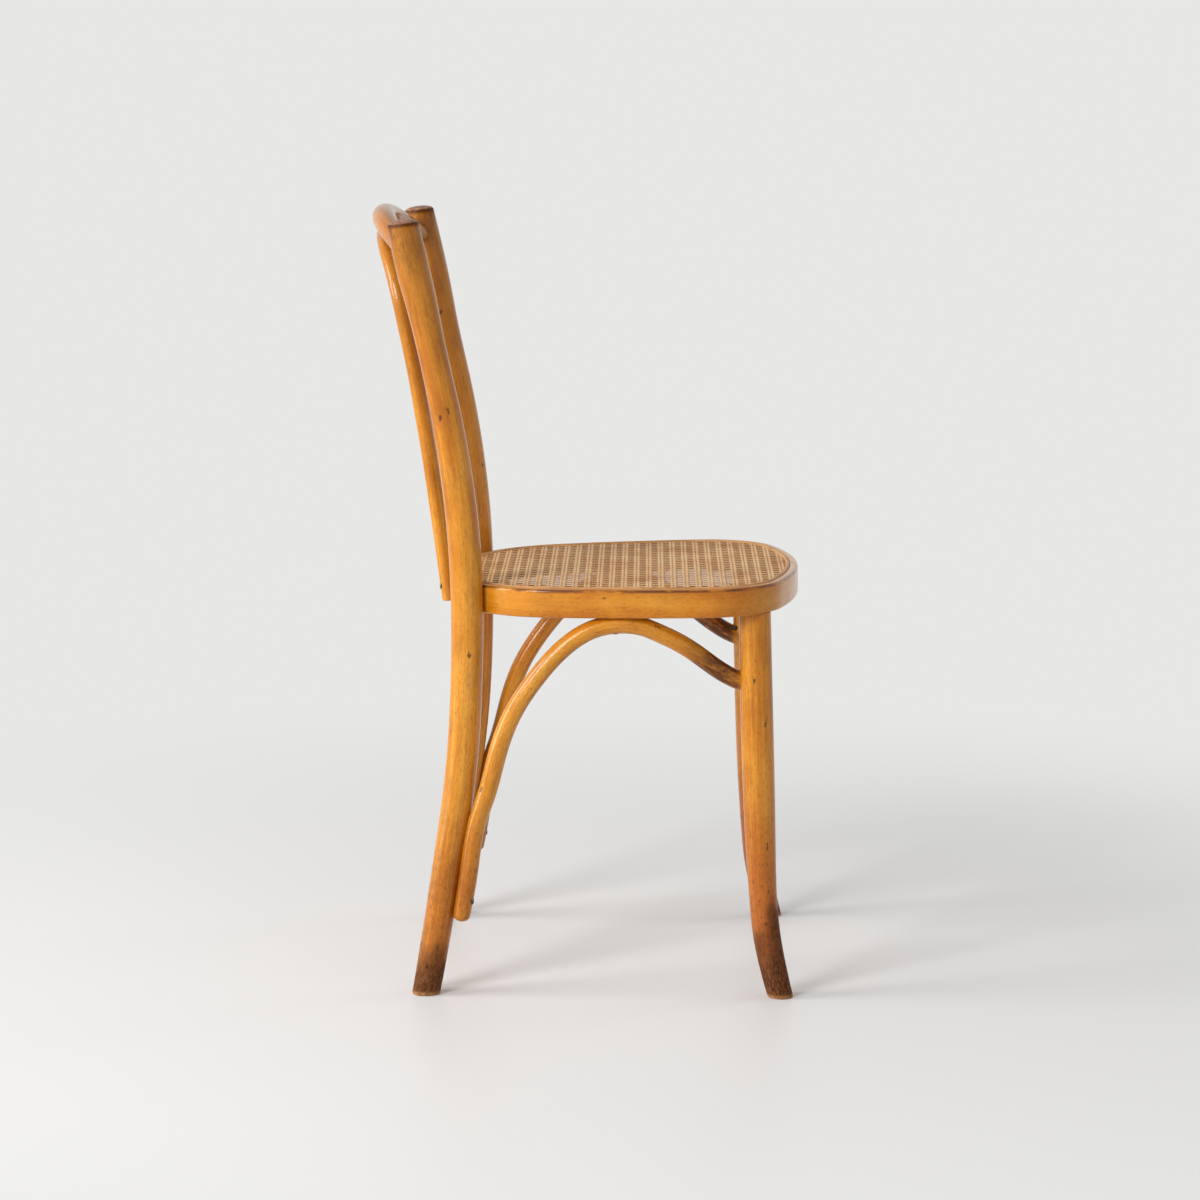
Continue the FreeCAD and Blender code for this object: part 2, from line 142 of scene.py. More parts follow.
# Rows from the floor up to the ring: share of the height, outward, forward, radius
leg_rows = [
    (0.00, 0.0380, 0.0310, 0.0140),
    (0.05, 0.0359, 0.0252, 0.0147),
    (0.17, 0.0310, 0.0144, 0.0156),
    (0.26, 0.0274, 0.0106, 0.0159),
    (0.38, 0.0226, 0.0079, 0.0171),
    (0.54, 0.0164, 0.0054, 0.0182),
    (0.88, 0.0041, 0.0012, 0.0184),
    (1.00, 0.0000, 0.0000, 0.0182),
]

# Rows of a brace: share of the run, share of the rise or of the drop
brace_rear_rows = [
    (0.065, 0.139), (0.135, 0.330), (0.232, 0.530), (0.400, 0.726), (0.585, 0.878), (0.800, 0.978),
]
brace_front_rows = [
    (0.144, 0.047), (0.250, 0.134), (0.404, 0.282), (0.564, 0.482), (0.730, 0.727), (0.860, 0.885),
]

# Sizes of the reed and of the woven cane
reed_gap = 0.0002
reed_crown = 0.0012
reed_shoulder = 0.0006
cane_pitch = 0.014
cane_rows = 16
cane_edge_inset = groove_inset + groove_width - 0.0008
cane_level = -0.0008
strand_width = 0.0023
strand_thick = 0.0005
strand_crown = 0.0002
strand_shortest = 0.02
strand_top_slope = 0.6      # a face steeper than this is a strand's side
pair_gap = 0.0040
pair_wave = 0.0002
pair_lift = 0.0001
slant_width = 0.0021
slant_wave = 0.0003
slant_lift = 0.00025

# Old varnish has gathered at these joints, and painted shade darkens the wood where the parts meet
# there
crest_joint = (0.152, 0.196, 0.862)
brace_leg_joint = (0.158, -0.160, 0.370)
brace_post_joint = (0.160, 0.160, 0.120)

# Where each rod's grain starts, so that no two rods look alike
grain_starts = {"rear_post": 0.0, "crest_rail": 4.0, "inner_bow": 6.0, "front_leg": 9.0,
                "side_brace": 12.0}
left_grain_shift = 1.7

# The photograph's camera, in metres and radians, its focal length and picture width in pixels
camera_place = (-4.3364, -0.070, 1.1078)
camera_yaw = 0.0126
camera_pitch = 0.156
camera_focal = 3744
photo_width = 1200
sensor_width = 36.0

# Stage and lamps
floor_radius = 12.0
room_light = 0.40
lamp_aim = Vector((0, 0, 0.45))

# How finely things are drawn
rod_sides = 40
bow_sides = 32
rod_step = 0.009
tip_length = 0.8            # share of the rod's radius
tip_steps = 6
dome_angle = 88             # in degrees, just short of the closed top
dome_steps = 7
bow_leg_steps = 6
bow_arch_steps = 5
reed_steps = 8
arc_steps = (22, 26, 10, 30, 16)
strand_steps = 6
line_samples = 1200
grain_samples = 300
tangent_step = 0.0004
weld = 1e-6
rod_crease = 35.0           # in degrees, like the two below: edges sharper than this stay crisp
seat_crease = 50.0
cane_crease = 60.0

# Directions
sideways = Vector((1, 0, 0))
rearward = Vector((0, 1, 0))
upward = Vector((0, 0, 1))


# Seat outline: a chain of five arcs a side, each tangent to the next
sines = [math.sin(turn) for turn in turns]
cosines = [math.cos(turn) for turn in turns]
front_radius = (seat_width / 2 - front_corner_radius * (1 - sines[4])) / sines[4]
width_left = (seat_width / 2 - rear_corner_radius * (sines[2] - sines[1])
              - front_corner_radius * (1 - sines[3]))
depth_left = (seat_depth - rear_corner_radius * (cosines[1] - cosines[2])
              - front_corner_radius * (cosines[3] - cosines[4]) - front_radius * (1 + cosines[4]))
side_x = sines[3] - sines[2]
side_y = cosines[2] - cosines[3]
rear_y = 1 - cosines[1]
side_radius = (depth_left * sines[1] - width_left * rear_y) / (side_y * sines[1] - side_x * rear_y)
rear_radius = (width_left - side_radius * side_x) / sines[1]
arc_radii = [rear_radius, rear_corner_radius, side_radius, front_corner_radius, front_radius]
seat_rear = seat_depth - seat_front
seat_middle = seat_rear - seat_depth / 2


def normal_at(turn):
    return Vector((math.sin(turn), math.cos(turn), 0))


arc_centres = [Vector((0, seat_rear - rear_radius, 0))]
for index in range(1, 5):
    step = arc_radii[index - 1] - arc_radii[index]
    arc_centres.append(arc_centres[-1] + normal_at(turns[index]) * step)


def outline_point(turn, inset, side=1):
    """A point of the seat outline, moved in by the inset, on the right or left side."""
    index = 0
    while index < 4 and turn > turns[index + 1]:
        index += 1
    point = arc_centres[index] + normal_at(turn) * (arc_radii[index] - inset)
    return Vector((side * point.x, point.y, 0))


seat_place = (Matrix.Translation((0, seat_middle, seat_height))
              @ Matrix.Rotation(-seat_tilt, 4, "X") @ Matrix.Translation((0, -seat_middle, 0)))
seat_up = (seat_place.to_3x3() @ upward).normalized()


def seated(point):
    """A point of the level seat, brought to its place on the chair."""
    return seat_place @ point


class Centreline:
    """A smooth line through set points, with the rod's radius at each, walked by its length."""

    def __init__(self, points, radii):
        rows = numpy.array([[*point, radius] for point, radius in zip(points, radii)])
        gaps = numpy.linalg.norm(numpy.diff(rows[:, :3], axis=0), axis=1)
        self.knots = numpy.concatenate([[0], numpy.cumsum(gaps)])
        self.rows = rows
        self.slopes = self.solve_slopes(gaps)
        self.fine = numpy.linspace(0, self.knots[-1], line_samples)
        places = numpy.array([self.row(place)[:3] for place in self.fine])
        steps = numpy.linalg.norm(numpy.diff(places, axis=0), axis=1)
        self.lengths = numpy.concatenate([[0], numpy.cumsum(steps)])
        self.places = places
        self.length = self.lengths[-1]

    def solve_slopes(self, gaps):
        """Slopes at the points, so that the curvature is even on both sides of each."""
        count = len(self.rows)
        rises = numpy.diff(self.rows, axis=0) / gaps[:, None]
        matrix = numpy.eye(count)
        right = numpy.zeros((count, 4))
        right[0] = rises[0] - (rises[1] - rises[0]) * gaps[0] / (gaps[0] + gaps[1])
        right[-1] = rises[-1] + (rises[-1] - rises[-2]) * gaps[-1] / (gaps[-1] + gaps[-2])
        for index in range(1, count - 1):
            before, after = gaps[index - 1], gaps[index]
            matrix[index, index - 1] = after
            matrix[index, index] = 2 * (before + after)
            matrix[index, index + 1] = before
            right[index] = 3 * (after * rises[index - 1] + before * rises[index])
        return numpy.linalg.solve(matrix, right)

    def row(self, place):
        """Point and radius at a place between the knots."""
        index = min(max(int(numpy.searchsorted(self.knots, place)) - 1, 0), len(self.knots) - 2)
        gap = self.knots[index + 1] - self.knots[index]
        share = (place - self.knots[index]) / gap
        rest = 1 - share
        start = (1 + 2 * share) * self.rows[index] + share * gap * self.slopes[index]
        end = (3 - 2 * share) * self.rows[index + 1] - rest * gap * self.slopes[index + 1]
        return rest ** 2 * start + share ** 2 * end

    def at(self, length):
        """Point, direction and radius at a length along the line."""
        place = float(numpy.interp(length, self.lengths, self.fine))
        ahead = self.row(min(place + tangent_step, self.knots[-1]))
        behind = self.row(max(place - tangent_step, 0))
        row = self.row(place)
        return Vector(row[:3]), Vector(ahead[:3] - behind[:3]).normalized(), float(row[3])

    def length_at_height(self, height):
        """Length at which a line that rises reaches a height."""
        return float(numpy.interp(height, self.places[:, 2], self.lengths))

    def point_at_height(self, height):
        return self.at(self.length_at_height(height))[0]


def section_place(point, along, steady, size):
    """Matrix that lays a unit circle square to a direction, with its own X close to steady."""
    across = (steady - along * steady.dot(along)).normalized()
    matrix = Matrix((across, along.cross(across), along)).transposed().to_4x4()
    return Matrix.Translation(point) @ matrix @ Matrix.Scale(size, 4)


def slid_onto(point, along, normal):
    """Matrix that slides points along a direction onto the plane through the point."""
    slide = Matrix.Identity(3)
    for row in range(3):
        for column in range(3):
            slide[row][column] -= along[row] * normal[column] / along.dot(normal)
    return Matrix.Translation(point) @ slide.to_4x4() @ Matrix.Translation(-point)


def moved_ring(bm, edges, matrix):
    """Extrudes a ring of edges once and moves the new ring by the matrix."""
    grown = bmesh.ops.extrude_edge_only(bm, edges=edges)["geom"]
    verts = [item for item in grown if isinstance(item, bmesh.types.BMVert)]
    bmesh.ops.transform(bm, matrix=matrix, verts=verts)
    fresh = set(verts)
    return [item for item in grown
            if isinstance(item, bmesh.types.BMEdge) and all(vert in fresh for vert in item.verts)]


def fresh_ring(bm, edges, place, sides):
    """A new ring at a place of its own, bridged to the ring that is there."""
    known = set(bm.edges)
    bmesh.ops.create_circle(bm, segments=sides, radius=1.0, matrix=place)
    added = [edge for edge in bm.edges if edge not in known]
    bmesh.ops.bridge_loops(bm, edges=edges + added)
    return added


def capped(bm):
    """Closes every open end with a flat face."""
    bmesh.ops.holes_fill(bm, edges=[edge for edge in bm.edges if edge.is_boundary], sides=0)


def swept(line, steady, first_cut=None, last_cut=None, round_start=False, sides=rod_sides):
    """A round rod along a centreline. A cut is the normal of the plane that flattens an end."""
    steps = max(int(line.length / rod_step), 4)
    stations = [(*line.at(length), length) for length in numpy.linspace(0, line.length, steps + 1)]
    if round_start:
        stations = rounded_tip(line, stations[0]) + stations[1:]
    places = [section_place(point, along, steady, radius) for point, along, radius, _ in stations]
    bm = bmesh.new()
    bmesh.ops.create_circle(bm, segments=sides, radius=1.0, matrix=places[0])
    if first_cut is not None:
        point, along = stations[0][:2]
        bmesh.ops.transform(bm, matrix=slid_onto(point, along, first_cut), verts=bm.verts[:])
    edges = bm.edges[:]
    for index in range(1, len(places)):
        if index == 1 and first_cut is not None:
            edges = fresh_ring(bm, edges, places[index], sides)
        else:
            edges = moved_ring(bm, edges, places[index] @ places[index - 1].inverted())
    if last_cut is not None:
        point, along = stations[-1][:2]
        verts = list({vert for edge in edges for vert in edge.verts})
        bmesh.ops.transform(bm, matrix=slid_onto(point, along, last_cut), verts=verts)
    capped(bm)
    bmesh.ops.recalc_face_normals(bm, faces=bm.faces[:])
    return bm


def rounded_tip(line, station):
    """Stations of a rounded end at the start of a line, from the tip inwards."""
    radius, start = station[2:]
    rows = []
    for step in range(1, tip_steps + 1):
        angle = math.radians(90 * step / tip_steps)
        length = start + radius * tip_length * (1 - math.cos(angle))
        point, along, full = line.at(length)
        rows.append((point, along, full * math.sin(angle), length))
    return rows


def flat_ends(bm, normal):
    """The flat end of a rod that looks along a normal."""
    return [face for face in bm.faces if face.normal.dot(normal) > 0.99 and len(face.verts) > 4]


def softened(bm, normal, size):
    """Rounds the edge of the flat end that looks along a normal."""
    edges = list({edge for face in flat_ends(bm, normal) for edge in face.edges})
    bmesh.ops.bevel(bm, geom=edges, offset=size, offset_type="OFFSET", segments=3,
                    profile=0.5, affect="EDGES", material=-1, clamp_overlap=True)


def domed(bm, centre, normal, rise):
    """Raises a low dome, worn by handling, on the flat end of a rod."""
    flats = flat_ends(bm, normal)
    edges = flats[0].edges[:]
    bmesh.ops.delete(bm, geom=flats, context="FACES_ONLY")
    size, lift = 1.0, 0.0
    for step in range(1, dome_steps + 1):
        angle = math.radians(dome_angle * step / dome_steps)
        place = (Matrix.Translation(centre + normal * rise * math.sin(angle))
                 @ Matrix.Scale(math.cos(angle) / size, 4)
                 @ Matrix.Translation(-centre - normal * lift))
        edges = moved_ring(bm, edges, place)
        size, lift = math.cos(angle), rise * math.sin(angle)
    capped(bm)
    bmesh.ops.recalc_face_normals(bm, faces=bm.faces[:])


def planed(bm, point, normal):
    """Cuts away what lies past a plane and closes the cut."""
    everything = bm.verts[:] + bm.edges[:] + bm.faces[:]
    bmesh.ops.bisect_plane(bm, geom=everything, dist=weld, plane_co=point, plane_no=normal,
                           clear_outer=True)
    capped(bm)


def mirrored(bm):
    """Turns a right-hand piece into a left-hand one."""
    bmesh.ops.scale(bm, vec=(-1, 1, 1), verts=bm.verts[:])
    bmesh.ops.reverse_faces(bm, faces=bm.faces[:])


def lay_grain(mesh, places, frames, lengths):
    """Stores at each point where it lies in the wood: across, up and along the bent piece."""
    tree = kdtree.KDTree(len(places))
    for index, place in enumerate(places):
        tree.insert(place, index)
    tree.balance()
    attribute = mesh.attributes.new("grain", "FLOAT_VECTOR", "POINT")
    for vert in mesh.vertices:
        _, index, _ = tree.find(vert.co)
        offset = vert.co - places[index]
        across, lift, along = frames[index]
        attribute.data[vert.index].vector = (
            offset.dot(across), offset.dot(lift), lengths[index] + offset.dot(along))


def rod_grain(mesh, line, steady, start):
    """Grain of a rod. The start sets it apart from the others, so that no two look alike."""
    places, frames, lengths = [], [], []
    for length in numpy.linspace(0, line.length, grain_samples):
        point, along, _ = line.at(length)
        across = (steady - along * steady.dot(along)).normalized()
        places.append(point)
        frames.append((across, along.cross(across), along))
        lengths.append(float(length) + start)
    lay_grain(mesh, places, frames, lengths)


def finished(name, bm, material, nodes, crease=rod_crease):
    """Makes the piece's object, smooth but for its crisp corners, in the place of its nodes."""
    bm.normal_update()
    for face in bm.faces:
        face.smooth = True
    for edge in bm.edges:
        edge.smooth = not edge.is_manifold or edge.calc_face_angle(0) < math.radians(crease)
    mesh = bpy.data.meshes.new(name)
    bm.to_mesh(mesh)
    bm.free()
    piece = bpy.data.objects.new(name, mesh)
    bpy.context.scene.collection.objects.link(piece)
    mesh.materials.append(material)
    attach(piece, "root")
    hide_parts(*nodes)
    return piece


def make_pair(node, shaped, line, start):
    """A right-hand rod in a node's place, and its mirror image on the left."""
    flip = Matrix.Scale(-1, 4, sideways)
    for side in ("right", "left"):
        bm = shaped()
        if side == "left":
            mirrored(bm)
        node_name = node + "_" + side
        piece = finished(node_name + "_rod", bm, rod_finish, [node_name])
        if side == "right":
            rod_grain(piece.data, line, sideways, start)
        else:
            piece.data.transform(flip)
            rod_grain(piece.data, line, sideways, start + left_grain_shift)
            piece.data.transform(flip)


# Shader maths
class Value:
    """A socket that can be reckoned with: each operator adds a Math node."""

    def __init__(self, finish, socket):
        self.finish = finish
        self.socket = socket

    def reckon(self, operation, *values):
        return self.finish.node("Math", {"operation": operation}, dict(enumerate(values)))

    def __add__(self, other):
        return self.reckon("ADD", self, other)

    def __radd__(self, other):
        return self.reckon("ADD", other, self)

    def __sub__(self, other):
        return self.reckon("SUBTRACT", self, other)

    def __rsub__(self, other):
        return self.reckon("SUBTRACT", other, self)

    def __mul__(self, other):
        return self.reckon("MULTIPLY", self, other)

    def __rmul__(self, other):
        return self.reckon("MULTIPLY", other, self)

    def positive(self):
        return self.reckon("ABSOLUTE", self)

    def clipped(self):
        return self.finish.node("Clamp", {}, {0: self})

    def smooth(self, low, high):
        """0 below low, 1 above high, and a smooth rise between."""
        return self.finish.node("MapRange", {"interpolation_type": "SMOOTHSTEP"},
                                {0: self, 1: low, 2: high, 3: 0.0, 4: 1.0})


class Finish:
    """A material, or a world, in the making. Each of its nodes comes from the one method node."""

    def __init__(self, name, kind=bpy.data.materials):
        self.made = kind.new(name)
        self.made.use_nodes = True
        self.tree = self.made.node_tree
        self.tree.nodes.clear()

    def node(self, kind, settings, sockets, output=0):
        """A node of a kind: its settings first, then the values or links of its sockets."""
        made = self.tree.nodes.new("ShaderNode" + kind)
        for name, value in settings.items():
            if name == "stops":
                while len(made.color_ramp.elements) < len(value):
                    made.color_ramp.elements.new(0.5)
                for element, (place, colour) in zip(made.color_ramp.elements, value):
                    element.position = place
                    element.color = colour
            else:
                setattr(made, name, value)
        for key, value in sockets.items():
            if isinstance(value, Value):
                self.tree.links.new(value.socket, made.inputs[key])
            else:
                made.inputs[key].default_value = value
        return Value(self, made.outputs[output]) if made.outputs else None

    def attribute(self, name, output):
        return self.node("Attribute", {"attribute_name": name}, {}, output)

    def objects(self):
        return self.node("TexCoord", {}, {}, "Object")

    def split(self, vector):
        return [self.node("SeparateXYZ", {}, {0: vector}, axis) for axis in range(3)]

    def stretched(self, vector, scale):
        return self.node("Mapping", {}, {"Vector": vector, "Scale": scale})

    def noise(self, vector, scale, detail=3.0, roughness=0.55, output=0):
        return self.node("TexNoise", {}, {"Vector": vector, "Scale": scale, "Detail": detail,
                                          "Roughness": roughness}, output)

    def figure(self, grain, across, along, detail=3.0, roughness=0.55):
        """Noise with a scale of its own across the wood and another along it."""
        return self.noise(self.stretched(grain, (across, across, along)), 1.0, detail, roughness)

    def crooked(self, vector, place, scale, reach):
        """A place pushed about, so that spots read at it get uneven outlines."""
        push = self.node("VectorMath", {"operation": "SUBTRACT"},
                         {0: self.noise(place, scale, output=1), 1: (0.5, 0.5, 0.5)})
        return self.node("VectorMath", {"operation": "MULTIPLY_ADD"},
                         {0: push, 1: (reach, reach, reach), 2: vector})

    def spots(self, vector, scale, size):
        """1 inside scattered small spots, 0 outside."""
        gap = self.node("TexVoronoi", {}, {"Vector": vector, "Scale": scale, "Randomness": 1.0})
        return 1.0 - gap.smooth(size * 0.55, size)

    def near(self, place, centre, reach):
        """1 at a place on the chair, fading to 0 at the reach, the same on the left and right."""
        outward, back, height = self.split(place)
        folded = self.node("CombineXYZ", {}, {0: outward.positive(), 1: back, 2: height})
        gap = self.node("VectorMath", {"operation": "DISTANCE"}, {0: folded, 1: centre}, 1)
        return 1.0 - gap.smooth(reach * 0.25, reach)

    def seen(self):
        """1 for what the camera sees, also reflected, and 0 for what only lights the chair."""
        return sum(self.node("LightPath", {}, {}, "Is " + kind + " Ray")
                   for kind in ("Camera", "Glossy", "Transmission")).clipped()

    def ramp(self, value, stops):
        return self.node("ValToRGB", {"stops": stops}, {0: value})

    def mixed(self, share, first, second):
        """The first colour where the share is 0, the second where it is 1."""
        return self.node("Mix", {"data_type": "RGBA"}, {0: share, 6: first, 7: second}, 2)

    def bump(self, height, distance):
        return self.node("Bump", {}, {"Height": height, "Distance": distance})

    def principled(self, sockets):
        shader = self.node("BsdfPrincipled", {}, sockets)
        self.node("OutputMaterial", {}, {"Surface": shader})
        return self.made


def paint(red, green, blue):
    """A colour given in 0 to 255, as the shader wants it."""
    parts = [((part / 255 + 0.055) / 1.055) ** 2.4 if part > 10 else part / 255 / 12.92
             for part in (red, green, blue)]
    return (*parts, 1.0)


def lacquered_beech(name, rail=False):
    """Honey beech under old glossy lacquer, marked by use and dark towards the floor, with painted
    shade where parts meet and on the seat rail's upper edge and inner wall.

    The rail of the seat is a shade browner and evener than the rods.
    """
    finish = Finish(name)
    grain = finish.attribute("grain", "Vector")
    place = finish.objects()
    across, lift, _ = finish.split(grain)
    outward, back, height = finish.split(place)

    # Broad tone, long streaks, fine mottling and the short dark dashes of the pores
    bands = finish.figure(grain, 70, 2.6)
    streaks = finish.figure(grain, 380, 8, 4.0)
    clouds = finish.noise(place, 13.0, 4.0)
    mottle = finish.figure(grain, 420, 170, 4.0, 0.65)
    pores = finish.figure(grain, 1100, 130, 2.0).smooth(0.56, 0.70)
    flecks = finish.figure(grain, 420, 190, 6.0, 0.75)
    shades = finish.figure(grain, 95, 13, 5.0, 0.62).smooth(0.48, 0.64)
    if rail:
        tone = bands * 0.26 + streaks * 0.08 + clouds * 0.34 + mottle * 0.32
        mottled, pored, shaded = 0.26, 0.34, 0.08
    else:
        tone = bands * 0.34 + streaks * 0.20 + clouds * 0.28 + mottle * 0.18
        mottled, pored, shaded = 0.36, 0.40, 0.26
    wood = finish.ramp(tone, [
        (0.34, paint(158, 86, 10)), (0.44, paint(188, 113, 16)), (0.52, paint(207, 138, 34)),
        (0.60, paint(220, 154, 56)), (0.72, paint(232, 176, 92)),
    ])
    if rail:
        wood = finish.mixed(0.12, wood, paint(172, 98, 6))
    else:
        # Browner where hands have held the back
        wood = finish.mixed(height.smooth(0.52, 0.84) * 0.50, wood, paint(150, 88, 14))
    wood = finish.mixed(mottle.smooth(0.47, 0.66) * mottled, wood, paint(156, 74, 8))
    wood = finish.mixed(pores * pored, wood, paint(110, 48, 8))
    wood = finish.mixed(shades * shaded, wood, paint(120, 54, 8))

    # Old varnish gathered in dark patches, most of all by the joints, where the dark is also
    # painted shade of the meeting parts
    patch = finish.figure(grain, 60, 22, 6.0, 0.7).smooth(0.50, 0.66)
    spread = finish.figure(grain, 150, 46, 4.0, 0.6).smooth(0.34, 0.54)
    joint_stain_and_shade = (finish.near(place, crest_joint, 0.060) * 0.35
              + finish.near(place, brace_leg_joint, 0.075) * back.smooth(-0.180, -0.170)
              + finish.near(place, brace_post_joint, 0.060) * 0.2)
    stain_and_shade = (patch * (joint_stain_and_shade + 0.16) + joint_stain_and_shade * (spread * 0.6 + 0.4)).clipped()
    wood = finish.mixed(stain_and_shade * 0.9, wood, paint(70, 32, 12))

    # Redder towards the floor, with dark specks
    front = 1.0 - back.smooth(-0.12, 0.0)
    low = 1.0 - (height - front * 0.04).smooth(0.03, 0.26)
    specks = finish.figure(grain, 230, 130, 4.0, 0.66).smooth(0.58, 0.66)
    wood = finish.mixed(low * (front * 0.30 + 0.45), wood, paint(158, 72, 8))
    wood = finish.mixed(low * flecks.smooth(0.48, 0.64) * 0.50, wood, paint(84, 38, 12))
    wood = finish.mixed(low * specks * 0.7, wood, paint(66, 30, 12))

    # Grime where mops and shoes touch the feet, and a bare rim on the floor. The dark reaches
    # highest on the forward side of the front feet, the side away from the light, where it is also
    # painted shade
    toe_grime_and_shade = front * (1.0 - lift.smooth(-0.010, 0.005))
    ragged = (finish.noise(place, 34.0, 5.0, 0.6) - 0.5) * 0.14 + (flecks - 0.5) * 0.16
    dirt_and_shade = 1.0 - (height - front * 0.020 - toe_grime_and_shade * 0.030 + ragged).smooth(0.010, 0.084)
    grime = finish.mixed(flecks.smooth(0.40, 0.60), paint(104, 64, 38), paint(42, 26, 18))
    bare = (1.0 - height.smooth(0.002, 0.0065)) * flecks.smooth(0.36, 0.58)
    wood = finish.mixed(dirt_and_shade * 0.9, wood, grime)
    wood = finish.mixed(bare * 0.8, wood, paint(178, 132, 84))

    # Knocks: small dark nicks, longer along the grain, and pin-head pits in clusters
    along = finish.crooked(finish.stretched(grain, (1, 1, 0.45)), place, 260.0, 0.006)
    nicks = finish.spots(along, 34.0, 0.075)
    pits = finish.figure(grain, 640, 330, 5.0, 0.7).smooth(0.62, 0.68)
    marks = (nicks * 0.9 + pits * clouds.smooth(0.44, 0.60) * 0.6).clipped()
    wood = finish.mixed(marks * 0.85, wood, paint(62, 30, 12))

    dull = dirt_and_shade * 0.9 + stain_and_shade * 0.3
    if rail:
        # Painted shade along the rail's rounded upper edge, broken into patches, and painted shade
        # on the inner wall
        broken = finish.figure(grain, 120, 30, 4.0).smooth(0.36, 0.56)
        edge = lift.smooth(0.0118, 0.0138) * (1.0 - lift.smooth(0.0152, 0.0162)) * broken
        inner = 1.0 - across.smooth(-0.0188, -0.0180)
        wood = finish.mixed(edge * 0.92, wood, paint(88, 42, 14))
        wood = finish.mixed(inner * 0.92, wood, paint(72, 40, 20))
    else:
        # Dark rim and paler end grain at the tops of the rear posts
        end = post_points[-1]
        above = (height - end.z) * post_end_normal.z + (back - end.y) * post_end_normal.y
        tops = outward.positive().smooth(0.11, 0.12) * height.smooth(0.83, 0.84)
        rim = tops * above.smooth(-0.0045, -0.0005) * (flecks * 0.9 + 0.4)
        end_grain = finish.mixed(flecks.smooth(0.36, 0.62), paint(190, 144, 114),
                                 paint(116, 74, 52))
        wood = finish.mixed(rim, wood, paint(70, 34, 18))
        wood = finish.mixed(tops * above.smooth(0.0006, 0.0020) * 0.85, wood, end_grain)
        dull = dull + tops * above.smooth(-0.008, -0.002) * 0.8

    relief = streaks * 0.25 + finish.figure(grain, 60, 16, 2.0) * 0.9 - pores * 0.15 - marks * 0.8
    return finish.principled({
        "Base Color": wood,
        "Roughness": 0.32 + streaks * 0.10 + dirt_and_shade * 0.28 + marks * 0.2,
        "Specular IOR Level": 0.1,
        "Coat Weight": (0.85 - dull).clipped(),
        "Coat Roughness": 0.15,
        "Coat IOR": 1.38,
        "Normal": finish.bump(relief, 0.0004)})


def woven_cane():
    """Cane strands: pale, glossy skin on top, and brown sides of painted shade that make the holes
    dark.
    """
    finish = Finish("woven_cane")
    place = finish.objects()
    patches = finish.noise(place, 24.0, 4.0)
    fibres = finish.noise(place, 700.0, 2.0)
    skin = finish.ramp(patches * 0.6 + fibres * 0.4, [
        (0.34, paint(206, 142, 78)), (0.48, paint(240, 182, 112)), (0.64, paint(250, 210, 148)),
    ])
    dirt_and_shade = finish.attribute("strand_dirt", "Fac")
    return finish.principled({
        "Base Color": finish.mixed(dirt_and_shade * 0.94, skin, paint(96, 46, 14)),
        "Roughness": 0.42,
        "Normal": finish.bump(fibres, 0.0002)})


def pressed_reed():
    """The reed that is pressed into the groove round the cane."""
    finish = Finish("reed_spline")
    fibres = finish.figure(finish.attribute("grain", "Vector"), 1600, 25)
    patches = finish.noise(finish.objects(), 30.0)
    colour = finish.ramp(fibres * 0.5 + patches * 0.5, [
        (0.32, paint(150, 96, 44)), (0.52, paint(200, 144, 82)), (0.72, paint(224, 174, 112)),
    ])
    return finish.principled({
        "Base Color": colour, "Roughness": 0.45, "Normal": finish.bump(fibres, 0.0003)})


def aged_steel():
    """Dark, dulled steel of old screws."""
    finish = Finish("aged_steel")
    rust = finish.noise(finish.objects(), 300.0, 4.0)
    colour = finish.ramp(rust, [(0.35, paint(36, 28, 22)), (0.65, paint(70, 54, 40))])
    return finish.principled({
        "Base Color": colour, "Metallic": 0.5, "Roughness": 0.42 + rust * 0.3,
        "Normal": finish.bump(rust, 0.0002)})


def pale_floor():
    """Pale floor that takes the shadows, fading into the room's even tone away from the chair."""
    finish = Finish("pale_floor")
    away = finish.node("VectorMath", {"operation": "LENGTH"}, {0: finish.objects()}, 1)
    floor = finish.node("BsdfPrincipled", {}, {
        "Base Color": paint(240, 240, 240), "Roughness": 0.45, "Specular IOR Level": 0.3})
    room = finish.node("Emission", {}, {"Color": room_tone, "Strength": 1.0})
    surface = finish.node("MixShader", {}, {
        0: finish.seen() * away.smooth(0.5, 1.7), 1: floor, 2: room})
    finish.node("OutputMaterial", {}, {"Surface": surface})
    return finish.made


def pale_room():
    """The room: soft white light for the chair, and an even pale tone where it is seen."""
    finish = Finish("pale_room", bpy.data.worlds)
    white = (1.0, 1.0, 1.0, 1.0)
    light = finish.node("Background", {}, {"Color": white, "Strength": room_light})
    tone = finish.node("Background", {}, {"Color": room_tone, "Strength": 1.0})
    room = finish.node("MixShader", {}, {0: finish.seen(), 1: light, 2: tone})
    finish.node("OutputWorld", {}, {"Surface": room})
    return finish.made


# Rear posts
post_seat = (seated(outline_point(post_turn, post_notch) - upward * ring_height / 2)
             + normal_at(post_turn) * (post_seat_radius - post_notch))
post_points, post_radii = [], []
for share, outward, backward, radius in post_leg_rows:
    post_points.append(Vector((post_seat.x + outward, post_seat.y + backward, share * post_seat.z)))
    post_radii.append(radius)
post_axis_top = post_top - post_back_rows[-1][3] * math.tan(post_end_slope)
for share, outward, backward, radius in post_back_rows:
    rise = post_seat.z + share * (post_axis_top - post_seat.z)
    post_points.append(Vector((post_seat.x + outward, post_seat.y + backward, rise)))
    post_radii.append(radius)
post_line = Centreline(post_points, post_radii)
post_end_normal = Vector((0, math.sin(post_end_slope), math.cos(post_end_slope)))


def post_rod():
    bm = swept(post_line, sideways, first_cut=-upward, last_cut=post_end_normal)
    domed(bm, post_points[-1], post_end_normal, post_dome)
    softened(bm, -upward, foot_round)
    return bm


